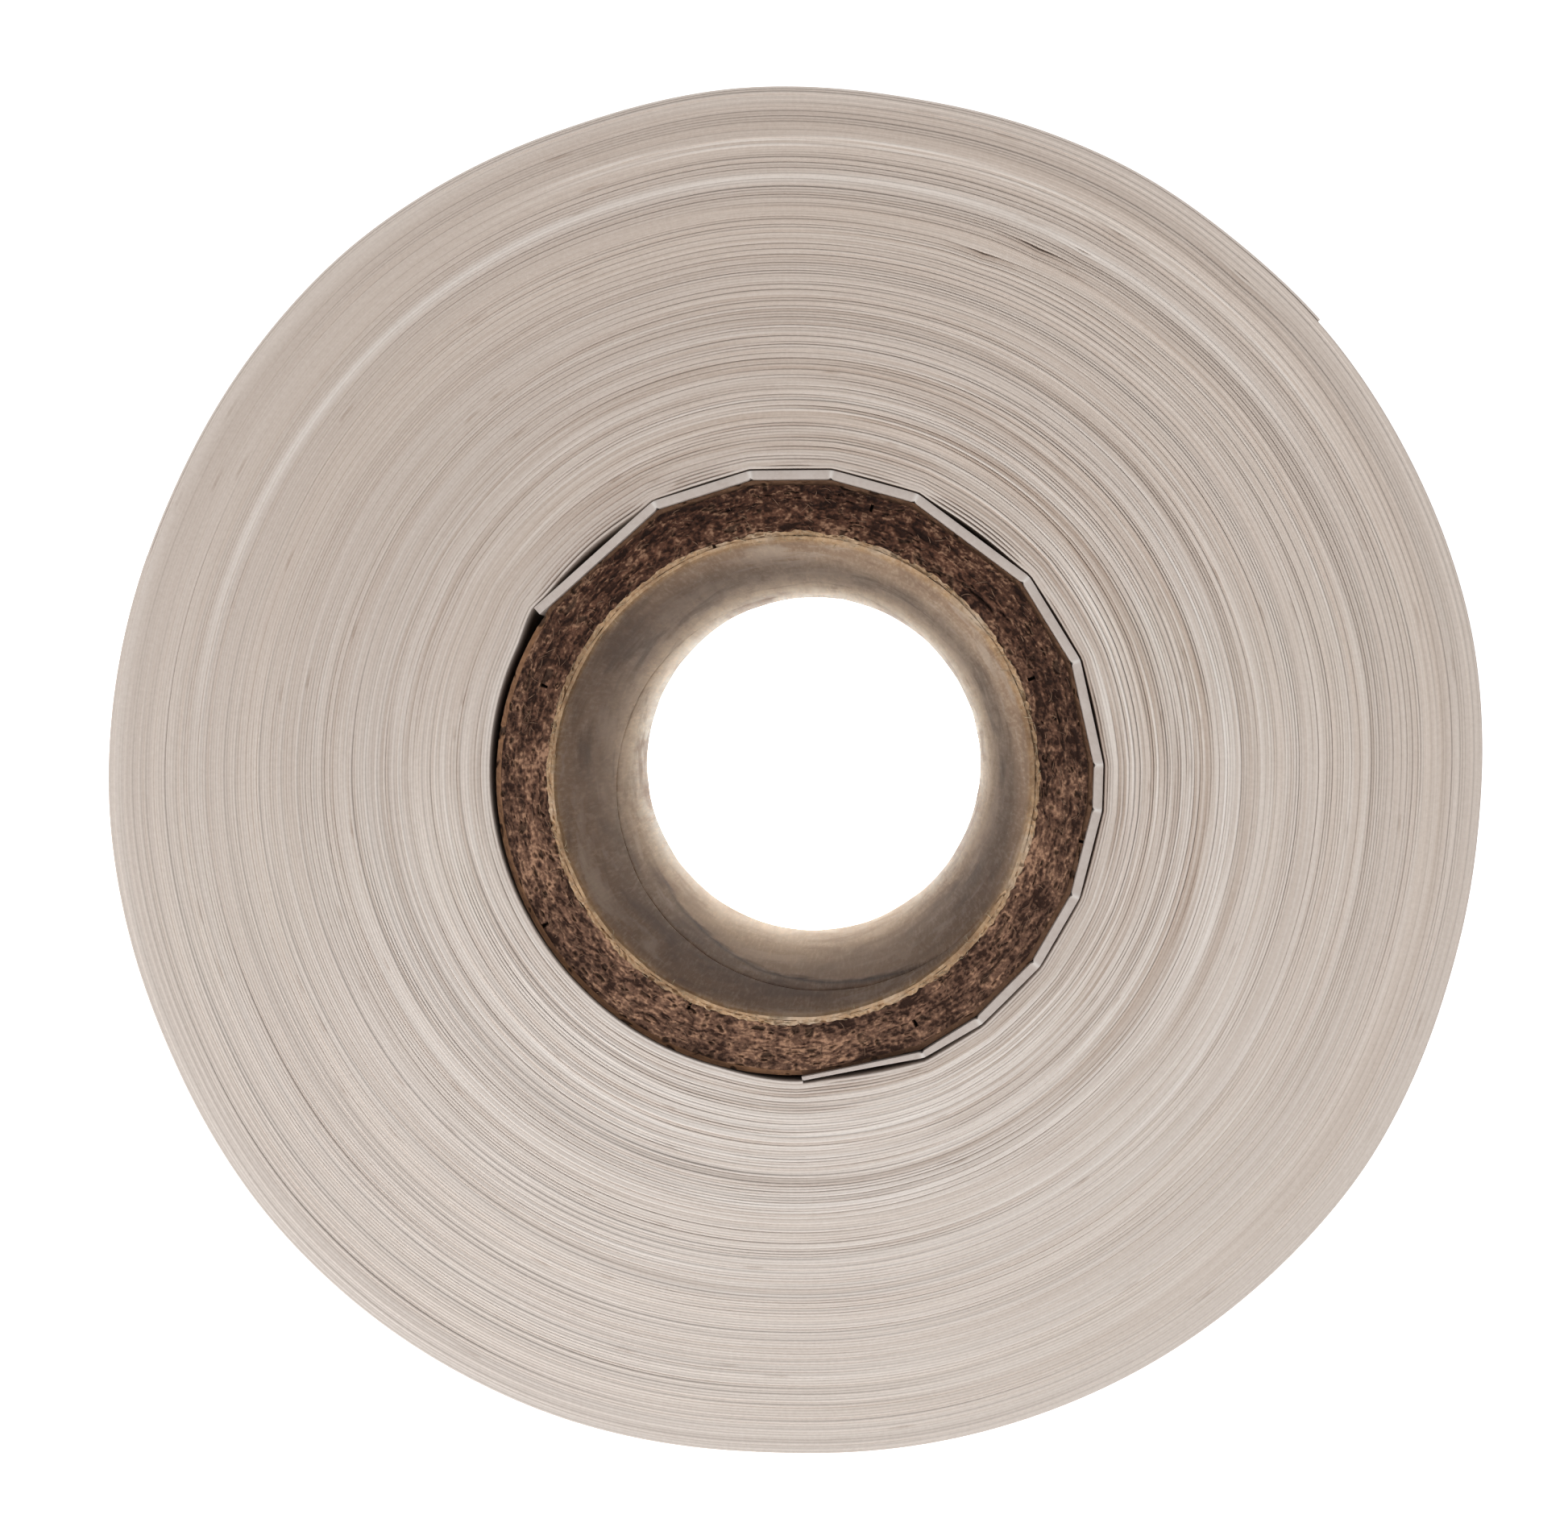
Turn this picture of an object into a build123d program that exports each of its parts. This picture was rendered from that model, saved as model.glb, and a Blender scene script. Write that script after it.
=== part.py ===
# Roll of lay-flat tree guard sleeve on a spiral-wound board core, standing on its end.
#
# Frame: millimetres, +Z along the core's axis, origin on that axis at the end the roll stands on.
# Seen from above, with +X to the right, the sleeve is wound outwards clockwise.
# Angles are in degrees, counter-clockwise from +X seen from above.

from build123d import *

import math
import os

# ---- sleeve web: a flattened tube, two films thick, wound as one strip
WEB_WIDTH = 100.0
WEB_THICKNESS = 0.23
ROLL_DIAMETER = 115.6
# centre of the winding's outside, off the core's axis because the starter strip packs out one side
WINDING_SHIFT = (-0.15, 0.55)

# ---- core: helically wound plies, glued face to face, from the bore outwards
CORE_BORE = 40.0
CORE_RECESS = 0.5  # how far the core's upper end lies below the web's edge
LINER_PLIES = 2
LINER_THICKNESS = 0.37
BOARD_PLIES = 6
BOARD_THICKNESS = 0.64
OUTER_THICKNESS = 0.42
SEAM_PITCH = 142.0  # axial advance of a seam in one turn
SEAM_GAP = 0.5  # width of the butt gap between a ply's own edges
SEAM_START = 79.4  # where the bore ply's seam meets the lower end
SEAM_STAGGER = 137.0  # from one ply's seam to the next ply's
SEAM_OVERRUN = 3.0  # how far each seam's cutter passes the core's ends

# ---- starter strip: a stiff leader, creased into flats around the core
STRIP_THICKNESS = 0.78
STRIP_CLEARANCE = 0.02  # from the core's outer ply to each flat
STRIP_START = 145.4
STRIP_END = -87.9
FLAT_FACINGS = (132.0, 106.7, 90.1, 74.7, 54.3, 33.0, 13.8, -0.6, -13.1, -28.9, -43.9, -58.0, -76.2)

# ---- winding's inside, over the strip and down onto the core beyond it
WINDING_CLEARANCE = 0.05
STRIP_END_GAP = 0.3
TOUCH_DOWN = 205.0  # where the first turn, past the strip's free end, reaches the core
SLACK_SHARE = 0.42  # how much of its height is left halfway down

# ---- free tail: the last part of the outside turn, in sections that peel off one after another
TAIL_TIP = 41.0
TAIL_SECTIONS = 6
SECTION_ANGLE = 20.0
TAIL_CLEARANCE = 0.12  # from the turn below
HINGE_GAP = 0.3  # between the ends of neighbouring sections

CORE_LENGTH = WEB_WIDTH - CORE_RECESS
BORE_RADIUS = CORE_BORE / 2
CORE_WALL = LINER_PLIES * LINER_THICKNESS + BOARD_PLIES * BOARD_THICKNESS + OUTER_THICKNESS
CORE_RADIUS = BORE_RADIUS + CORE_WALL
STRIP_INSIDE = CORE_RADIUS + STRIP_CLEARANCE
STRIP_OUTSIDE = STRIP_INSIDE + STRIP_THICKNESS
TAIL_ROOT = TAIL_TIP + TAIL_SECTIONS * SECTION_ANGLE
WOUND_RADIUS = ROLL_DIAMETER / 2 - WEB_THICKNESS - TAIL_CLEARANCE  # of the turn under the tail's tip

AXIS = Vector(0, 0)
WINDING_CENTRE = Vector(*WINDING_SHIFT)
ARC_STEP = 30.0  # a long curve is drawn as arcs of about this angle


def at(radius, angle, centre=AXIS):
    """Point at a radius and an angle from a centre, in the plan."""
    turn = math.radians(angle)
    return centre + Vector(radius * math.cos(turn), radius * math.sin(turn))


def arcs(radius_at, start, end, centre=AXIS):
    """Chain of arcs that follows radius_at(angle) from the start angle to the end angle."""
    count = max(1, round(abs(end - start) / ARC_STEP))
    step = (end - start) / count
    chain = []
    for index in range(count):
        angles = [start + (index + share) * step for share in (0, 0.5, 1)]
        chain.append(ThreePointArc(*[at(radius_at(angle), angle, centre) for angle in angles]))
    return chain


def upright(edges, height):
    """Solid of that height on the closed outline that the edges make."""
    return extrude(Face(Wire(edges)), height, dir=(0, 0, 1))


def tube(inner, outer, height):
    base = (Align.CENTER, Align.CENTER, Align.MIN)
    return Cylinder(outer, height, align=base) - Cylinder(inner, height, align=base)


def helical_seam(inner, outer, start):
    """Cutter for the gap between a ply's own edges: a right-handed helix right through the ply."""
    path = Helix(SEAM_PITCH, CORE_LENGTH + 2 * SEAM_OVERRUN, (inner + outer) / 2)
    section = Plane(origin=path @ 0, x_dir=(1, 0, 0), z_dir=path % 0) * Rectangle(3 * (outer - inner), SEAM_GAP)
    below = 360 * SEAM_OVERRUN / SEAM_PITCH
    return Pos(0, 0, -SEAM_OVERRUN) * Rot(0, 0, start - below) * sweep(section, path=path, is_frenet=True)


def core_plies():
    """Each ply's name and solid, bore ply first."""
    kinds = [(f"core_liner_ply_{index}", LINER_THICKNESS) for index in range(1, LINER_PLIES + 1)]
    kinds += [(f"core_board_ply_{index}", BOARD_THICKNESS) for index in range(1, BOARD_PLIES + 1)]
    kinds += [("core_outer_ply", OUTER_THICKNESS)]
    plies = {}
    inner = BORE_RADIUS
    for index, (name, thickness) in enumerate(kinds):
        outer = inner + thickness
        seam = helical_seam(inner, outer, SEAM_START + index * SEAM_STAGGER)
        plies[name] = tube(inner, outer, CORE_LENGTH) - seam
        inner = outer
    return plies


def strip_corners(distance):
    """Corners of the strip's face that lies at that distance from the axis on every flat."""
    creases = [(before + after) / 2 for before, after in zip(FLAT_FACINGS, FLAT_FACINGS[1:])]
    angles = [STRIP_START, *creases, STRIP_END]
    facings = [*FLAT_FACINGS, FLAT_FACINGS[-1]]
    return [at(distance / math.cos(math.radians(angle - facing)), angle) for angle, facing in zip(angles, facings)]


def starter_strip():
    outline = strip_corners(STRIP_INSIDE) + strip_corners(STRIP_OUTSIDE)[::-1]
    return upright(Polyline(*outline, close=True).edges(), WEB_WIDTH)


def web_outside():
    """Outline of the wound web: one turn of the spiral, stepped down under the free tail."""

    def under_tail(angle):
        return WOUND_RADIUS - WEB_THICKNESS * (angle - TAIL_TIP) / 360

    def exposed(angle):
        return under_tail(angle) + WEB_THICKNESS

    outline = arcs(under_tail, TAIL_TIP, TAIL_ROOT, WINDING_CENTRE)
    outline.append(Line(outline[-1] @ 1, at(exposed(TAIL_ROOT), TAIL_ROOT, WINDING_CENTRE)))
    return outline + arcs(exposed, TAIL_ROOT, TAIL_TIP + 360, WINDING_CENTRE)


def web_inside():
    """Outline that the web leaves for the core and strip, stepped at the strip's tucked end."""
    over_strip = max(corner.length for corner in strip_corners(STRIP_OUTSIDE)) + WINDING_CLEARANCE
    on_core = CORE_RADIUS + WINDING_CLEARANCE
    strip_end = STRIP_END - math.degrees(STRIP_END_GAP / over_strip)
    halfway = at(on_core + SLACK_SHARE * (over_strip - on_core), (STRIP_START + TOUCH_DOWN) / 2)
    outline = arcs(lambda angle: over_strip, strip_end, STRIP_START)
    outline.append(ThreePointArc(outline[-1] @ 1, halfway, at(on_core, TOUCH_DOWN)))
    outline += arcs(lambda angle: on_core, TOUCH_DOWN, strip_end + 360)
    outline.append(Line(outline[-1] @ 1, outline[0] @ 0))
    return outline


def wound_web():
    return upright(web_outside(), WEB_WIDTH) - upright(web_inside(), WEB_WIDTH)


def tail_inside(angle):
    """Radius of the tail's inner face, clear of the turn below."""
    return WOUND_RADIUS + TAIL_CLEARANCE - WEB_THICKNESS * (angle - TAIL_TIP) / 360


def tail_outside(angle):
    return tail_inside(angle) + WEB_THICKNESS


def tail_section(index):
    """Section of the tail, 1 beside the winding and the last at the tip."""
    half_gap = math.degrees(HINGE_GAP / 2 / WOUND_RADIUS)
    high = TAIL_ROOT - (index - 1) * SECTION_ANGLE - half_gap
    low = TAIL_TIP if index == TAIL_SECTIONS else TAIL_ROOT - index * SECTION_ANGLE + half_gap
    inner = arcs(tail_inside, low, high, WINDING_CENTRE)
    outer = arcs(tail_outside, high, low, WINDING_CENTRE)
    ends = [Line(inner[-1] @ 1, outer[0] @ 0), Line(outer[-1] @ 1, inner[0] @ 0)]
    return upright([*inner, *outer, *ends], WEB_WIDTH)


def hinge_point(index):
    """Where the axis of the hinge at a tail section's root stands, halfway through the web."""
    angle = TAIL_ROOT - (index - 1) * SECTION_ANGLE
    return at(tail_inside(angle) + WEB_THICKNESS / 2, angle, WINDING_CENTRE)


def main():
    parts = core_plies()
    parts["starter_strip"] = starter_strip()
    parts["wound_web"] = wound_web()
    for index in range(1, TAIL_SECTIONS + 1):
        parts[f"tail_section_{index}"] = tail_section(index)
        point = hinge_point(index)
        print(f"hinge {index}: x {point.X:.4f}, y {point.Y:.4f}")
    os.makedirs("parts", exist_ok=True)
    for name, part in parts.items():
        export_step(part, f"parts/{name}.step")


if __name__ == "__main__":
    main()
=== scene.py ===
import math

import bpy
import numpy as np
from bpy.props import FloatProperty, FloatVectorProperty, IntProperty, PointerProperty
from mathutils import Matrix, Vector


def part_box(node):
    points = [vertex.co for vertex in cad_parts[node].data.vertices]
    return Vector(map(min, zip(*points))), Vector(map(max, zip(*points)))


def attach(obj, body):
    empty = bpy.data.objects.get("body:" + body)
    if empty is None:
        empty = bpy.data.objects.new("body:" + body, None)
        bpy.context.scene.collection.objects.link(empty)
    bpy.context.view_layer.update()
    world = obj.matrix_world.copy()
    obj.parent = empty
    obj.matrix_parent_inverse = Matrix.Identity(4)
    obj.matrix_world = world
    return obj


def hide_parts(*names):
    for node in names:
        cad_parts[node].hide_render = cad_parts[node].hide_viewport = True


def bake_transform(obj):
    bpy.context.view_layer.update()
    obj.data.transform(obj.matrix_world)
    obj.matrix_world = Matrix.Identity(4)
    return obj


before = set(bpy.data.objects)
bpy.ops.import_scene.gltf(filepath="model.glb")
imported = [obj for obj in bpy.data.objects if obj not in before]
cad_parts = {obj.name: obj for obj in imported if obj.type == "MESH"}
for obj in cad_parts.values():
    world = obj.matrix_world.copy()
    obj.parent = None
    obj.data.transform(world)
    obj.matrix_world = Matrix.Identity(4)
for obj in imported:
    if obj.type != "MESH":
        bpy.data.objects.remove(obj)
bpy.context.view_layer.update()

bl_info = {
    "name": "Tree Guard Sleeve Roll",
    "version": (1, 0, 0),
    "blender": (4, 5, 0),
    "location": "3D View > Sidebar > Sleeve Roll",
    "description": "Builds a roll of tree guard sleeve web on a spiral wound card core",
    "category": "Add Mesh",
}

MM = 0.001
WEB_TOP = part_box("wound_web")[1].z / MM
CORE_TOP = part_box("core_board_ply_1")[1].z / MM

# Creases of the starter strip, in degrees counterclockwise from +X, from its square end to its tucked end.
CREASES = np.array([-88.2, -64.7, -52.4, -37.3, -22.6, -5.9, 2.6, 22.4, 40.4, 66.2, 82.7, 97.9, 116.7, 146.8])
# Radius of its middle line at a crease, and its thickness at the square and at the tucked end, in mm.
STRIP_MIDDLE = 25.68
STRIP_THICK = 0.74
STRIP_THIN = 0.34

# The web starts at this angle and runs clockwise, one step to each degree. The wound part ends with step LAST.
WEB_START = -88.0
STEPS = 360
WHOLE_TURNS = 137
LAST_STEPS = 111
LAST = WHOLE_TURNS * STEPS + LAST_STEPS
TURNS = WHOLE_TURNS + LAST_STEPS / STEPS
WEB_STEPS = (WHOLE_TURNS + 3) * STEPS
# Radii of the first and the last wound turn, growth a turn and thickness of one edge, in mm.
FIRST_RADIUS = 26.04
WOUND_RADIUS = 57.45
PITCH = (WOUND_RADIUS - FIRST_RADIUS) / TURNS
WEB_THICK = 0.19
# How far the winding's centre ends up from the core's, the turn with which each ring of turns starts, and how many
# lines of points make one turn.
SHIFT = (-0.15, 0.55)
BAND_TURNS = (0, 28, 56, 83, 110)
LINES = 4
# The roll's outer wall: how many rows it has, what lies outside it, and its even tone and warmth.
WALL_ROWS = 24
WALL_RADIUS = 55.5
WALL_TONE = 0.62
WALL_WARMTH = 0.35
# The free end bends at these angles and stops at the tip.
HINGES = (161, 141, 121, 101, 81, 61)
TIP = 41.0

# How far the outermost turns stand off a circle: angle and offset in mm.
OUTLINE = (
    (12, 0.45), (28, 0.28), (40, 0.32), (50, 0.05), (60, 0.12), (80, -0.52), (95, -0.22), (108, -0.54),
    (130, 0.0), (156, -0.45), (182, 0.06), (204, -0.08), (219, 0.38), (233, 0.42), (250, 0.24), (268, -0.33),
    (283, 0.08), (302, 0.5), (326, 0.74), (343, 0.02), (356, -0.05),
)

# Pinched places in the winding: angle, radius, depth, half width in degrees, and turns until it fades inwards.
PINCHES = (
    (48.0, 55.95, 0.15, 6.0, 9.0),
    (59.0, 52.9, 0.14, 4.0, 8.0),
    (61.0, 50.1, 0.17, 4.5, 8.0),
    (65.0, 48.8, 0.24, 5.0, 7.0),
    (70.0, 46.8, 0.22, 4.5, 7.0),
)

# Splits in the card's end: angle, radius, half length in degrees and half width in mm.
SPLITS = (
    (43.0, 21.85, 4.2, 0.11), (37.0, 22.4, 2.6, 0.08), (104.0, 23.1, 5.0, 0.05), (12.0, 22.9, 3.0, 0.07),
    (76.0, 23.6, 4.0, 0.05), (239.0, 23.4, 2.2, 0.12), (318.0, 23.2, 4.5, 0.06), (128.0, 22.2, 3.0, 0.07),
)

# Faces between the plies, and the butt seams: rise of one turn, angle of the first, step to the next, and gap.
LINER_RADII = (20.0, 20.37, 20.74)
BOARD_RADII = tuple(20.74 + 0.64 * ply for ply in range(7))
CORE_RADIUS = 25.0
SEAM_PITCH = 142.0
SEAM_START = 79.4
SEAM_STAGGER = 137.0
SEAM_GAP = 0.5
# Points round a ply's ring, and where they lie across its cut end.
PLY_COLUMNS = 1620
PLY_SHARES = np.array([0.0, 0.06, 0.22, 0.4, 0.6, 0.78, 0.94, 1.0])


def linear(red, green, blue):
    """Display colour, each channel 0 to 255, as scene-linear values."""
    share = np.array([red, green, blue]) / 255
    return tuple(np.where(share <= 0.04045, share / 12.92, ((share + 0.055) / 1.055) ** 2.4))


def measure(name, description, default):
    """A property that holds a length, its default in mm."""
    return FloatProperty(
        name=name, description=description, default=default * MM, min=0, subtype="DISTANCE", unit="LENGTH",
        precision=5)


def paint(name, description, *colour):
    """A property that holds a colour, its default as a display colour."""
    return FloatVectorProperty(
        name=name, description=description, subtype="COLOR", size=3, min=0, max=1, default=linear(*colour))


class RollSizes(bpy.types.PropertyGroup):
    groove: measure("Groove depth", "Depth of the groove between two tight turns", 0.045)
    stagger: measure("Edge stagger", "How far the edge of one turn stands above or below the next", 0.027)
    wander: measure("Edge wander", "Rise and fall of whole bands of turns", 0.055)
    sag: FloatProperty(
        name="Slack share", description="Share of each flat's hollow that the first turn falls into",
        default=0.72, min=0, max=1, subtype="FACTOR")
    roughness: measure("Card roughness", "Height of the torn fibre on the core's cut ends", 0.2)
    fibres: IntProperty(
        name="Loose fibres", description="Number of loose fibres on the core's cut end", default=360, min=0)
    seed: IntProperty(name="Seed", description="Start of every random draw", default=7)


class RollColours(bpy.types.PropertyGroup):
    web: paint("Web edge", "Cut edge of the sleeve web", 243, 236, 230)
    web_warm: paint("Web shade", "Web edge in the duller, warmer turns", 168, 145, 128)
    # Painted shade between turns and on the walls inside the roll, not a colour of the web itself.
    web_gap_shade: paint("Web gap", "Between two turns", 96, 72, 57)
    strip: paint("Starter strip", "Stiff strip under the first turns", 200, 188, 180)
    board: paint("Board", "Cut end of the core board", 114, 84, 68)
    board_fibre: paint("Board fibre", "Lighter fibres in the board", 186, 145, 117)
    kraft: paint("Kraft wrap", "Outer kraft ply of the core", 132, 94, 66)
    liner: paint("Liner", "Kraft paper inside the bore", 202, 170, 134)


# ---------------------------------------------------------------- surfaces

def polar(radius, degrees, height):
    """Points from radius, angle and height arrays of one shape."""
    angle = np.radians(degrees)
    shape = np.broadcast_shapes(np.shape(radius), np.shape(degrees), np.shape(height))
    parts = [radius * np.cos(angle), radius * np.sin(angle), height]
    return np.stack([np.broadcast_to(part, shape) for part in parts], axis=-1).reshape(-1, 3)


def rounded(value):
    """Smoothstep: three times the square less twice the cube, flat at 0 and at 1."""
    value = np.clip(value, 0, 1)
    return value * value * (3 - 2 * value)


def from_angle(degrees, middle):
    """Degrees counterclockwise from a middle angle, from -180 to 180."""
    return (degrees - middle + 180) % 360 - 180


def lattice(rng, across, along, rows, columns):
    """Value noise from -1 to 1: random numbers on a grid, joined by smoothstep. It repeats along the columns."""
    grid = rng.uniform(-1, 1, (rows + 2, columns))
    row = np.clip(np.floor(across).astype(int), 0, rows)
    column = np.floor(along).astype(int)
    down = rounded(across - row)
    over = rounded(along - column)
    near = grid[row, column % columns] * (1 - over) + grid[row, (column + 1) % columns] * over
    far = grid[row + 1, column % columns] * (1 - over) + grid[row + 1, (column + 1) % columns] * over
    return near * (1 - down) + far * down


def along_web(rng, count, spans):
    """Random run along the web: white noise blurred over each span of steps, scaled to unit spread, added by weight."""
    steps = np.fft.rfftfreq(count)
    total = np.zeros(count)
    for span, weight in spans:
        spectrum = np.fft.rfft(rng.standard_normal(count)) * np.exp(-2 * (np.pi * steps * span) ** 2)
        run = np.fft.irfft(spectrum, count)
        total += weight * run / run.std()
    return total


def across_turns(run, turns):
    """The run averaged over neighbouring turns with a Gaussian of that many turns, scaled to unit spread."""
    count = len(run)
    kernel = np.zeros(count)
    whole = int(4 * turns) + 1
    for turn in range(-whole, whole + 1):
        kernel[(turn * STEPS) % count] += math.exp(-0.5 * (turn / turns) ** 2)
    mixed = np.fft.irfft(np.fft.rfft(run) * np.fft.rfft(kernel), count)
    return mixed / mixed.std()


def flat_radius(degrees, corner_radius):
    """Radius of the creased strip's line: straight flats between creases that lie on corner_radius."""
    inside = np.clip(degrees, CREASES[0], CREASES[-1])
    flat = np.clip(np.searchsorted(CREASES, inside, side="right") - 1, 0, len(CREASES) - 2)
    half = np.radians(CREASES[flat + 1] - CREASES[flat]) / 2
    middle = (CREASES[flat + 1] + CREASES[flat]) / 2
    return corner_radius * np.cos(half) / np.cos(np.radians(inside - middle))


def wrap(degrees):
    """Angles from -88.2 up to 271.8 degrees, so that the strip is one run of them."""
    return (np.asarray(degrees, float) - CREASES[0]) % 360 + CREASES[0]


def solid(name, points, faces, material, sharp, ends=(), **fields):
    """A finished piece from points in mm, quads, its material and one number for each point in each field.

    Edges that turn by more than the sharp angle stay crisp. The ends are triangles that close it where quads can't.
    """
    mesh = bpy.data.meshes.new(name)
    faces = np.asarray(faces, np.int32)
    ends = np.asarray(ends, np.int32).reshape(-1, 3)
    corners = np.concatenate([faces.ravel(), ends.ravel()])
    starts = np.concatenate([np.arange(len(faces)) * 4, faces.size + np.arange(len(ends)) * 3]).astype(np.int32)
    mesh.vertices.add(len(points))
    mesh.vertices.foreach_set("co", (np.asarray(points, float) * MM).ravel())
    mesh.loops.add(len(corners))
    mesh.loops.foreach_set("vertex_index", corners)
    mesh.polygons.add(len(starts))
    mesh.polygons.foreach_set("loop_start", starts)
    mesh.polygons.foreach_set("use_smooth", np.ones(len(starts), bool))
    mesh.update(calc_edges=True)
    mesh.validate()
    mesh.set_sharp_from_angle(angle=math.radians(sharp))
    for field, values in fields.items():
        layer = mesh.attributes.new(field, "FLOAT", "POINT")
        layer.data.foreach_set("value", np.asarray(values, np.float32))
    mesh.materials.append(material)
    piece = bpy.data.objects.new(name, mesh)
    bpy.context.scene.collection.objects.link(piece)
    return piece


def grid_faces(rows, columns, ring_rows=False, ring_columns=False):
    """Quads of a grid of points numbered row by row. Rows or columns that make a ring join the last to the first."""
    row = np.arange(rows if ring_rows else rows - 1)[:, None]
    column = np.arange(columns if ring_columns else columns - 1)[None, :]
    after = (row + 1) % rows
    beside = (column + 1) % columns
    quads = [row * columns + column, row * columns + beside, after * columns + beside, after * columns + column]
    return np.stack(np.broadcast_arrays(*quads), axis=-1).reshape(-1, 4)


def swept_faces(loop, columns):
    """Quads of a closed profile of so many points carried along so many columns, with a cap at each end.

    A cap joins each point up one side to the point across from it. The profile's last two points lie underneath.
    """
    near = np.arange(loop // 2 - 1)
    across = loop - 3 - near
    cap = np.stack([near[:-1], near[1:], across[1:], across[:-1]], axis=-1)
    cap = np.concatenate([cap, [[loop - 1, near[0], across[0], loop - 2]]]) * columns
    sides = grid_faces(loop, columns, ring_rows=True)
    return np.concatenate([sides, cap, cap[:, ::-1] + columns - 1])[:, ::-1]


def place(piece, body, slot, *nodes):
    """Attaches the piece to the body it rides on, if any, and hides the CAD nodes it stands for; the slot, its finish,
    is not used.
    """
    if body:
        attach(piece, body)
    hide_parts(*nodes)


# ---------------------------------------------------------------- winding

def web_sizes(count):
    """Angle in degrees and turn number of each step along the web."""
    step = np.arange(count)
    return WEB_START - step, step / STEPS


def off_circle(degrees):
    """Offset of the outermost turns, a smooth line through the outline's points."""
    knots = np.array(OUTLINE, float)
    angle = np.concatenate([knots[-3:, 0] - 360, knots[:, 0], knots[:3, 0] + 360])
    offset = np.concatenate([knots[-3:, 1], knots[:, 1], knots[:3, 1]])
    fine = np.arange(-40, 400, 0.5)
    line = np.interp(fine, angle, offset)
    kernel = np.exp(-0.5 * (np.arange(-16, 17) / 5.0) ** 2)
    line = np.convolve(line, kernel / kernel.sum(), mode="same")
    return np.interp(np.asarray(degrees, float) % 360, fine, line)


def pinch_places(degrees):
    """For each pinch, how near each angle is to its middle from 0 to 1, the turn above it, its depth and its reach."""
    for middle, away, depth, half, reach in PINCHES:
        angle = math.radians(middle)
        local = away - SHIFT[0] * math.cos(angle) - SHIFT[1] * math.sin(angle)
        near = np.clip(1 - np.abs(from_angle(degrees, middle)) / half, 0, 1)
        yield near, (local - FIRST_RADIUS) / PITCH, depth, reach


def web_radius(degrees, turn, sag):
    """Inner radius of the web at an angle and turn.

    A spiral that grows by one pitch a turn about the shifted centre, with five changes. It falls to the core where
    there is no strip, which fades over 24 turns. It falls into each flat's hollow, less so where the hollow is deep
    or near 131 degrees, which fades over 2.8 turns and leaves a tenth that fades over 16. It keeps a small corner at
    each crease, which fades over 40. The outline's offset grows outwards, and the pinches draw in.
    """
    angle = np.radians(degrees)
    along = wrap(degrees)
    shift = (SHIFT[0] * np.cos(angle) + SHIFT[1] * np.sin(angle)) * (1 - np.exp(-turn / 20))
    radius = FIRST_RADIUS + PITCH * turn + shift
    bare = 0.45 * rounded((along - 146.0) / 9.0) + 0.55 * rounded((along - 150.0) / 75.0)
    bare = bare - 0.4 * rounded((along - 254.0) / 17.8) + 0.6 * rounded((-62.0 - along) / 26.2)
    radius = radius - (FIRST_RADIUS - CORE_RADIUS - 0.06) * bare * np.exp(-turn / 24)
    hollow = np.where(along < CREASES[-1], STRIP_MIDDLE - flat_radius(along, STRIP_MIDDLE), 0)
    fall = sag * hollow * (1.12 - 0.36 * rounded((hollow - 0.2) / 0.6))
    fall = fall * (1 - 0.35 * rounded(1 - np.abs(along - 131) / 14))
    radius = radius - fall * np.exp(-turn / 2.8) - 0.1 * hollow * np.exp(-turn / 16)
    for crease in CREASES[1:]:
        radius = radius + 0.03 * np.exp(-np.abs(from_angle(degrees, crease)) / 2.2) * np.exp(-turn / 40)
    radius = radius + off_circle(degrees) * np.clip(turn / TURNS, 0, 1) ** 1.4
    for near, at_turn, depth, reach in pinch_places(degrees):
        under = np.where(turn < at_turn, np.exp(-(at_turn - turn) / reach), np.exp(-(turn - at_turn) / 1.3))
        radius = radius - depth * near ** 1.3 * under
    return radius


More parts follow.
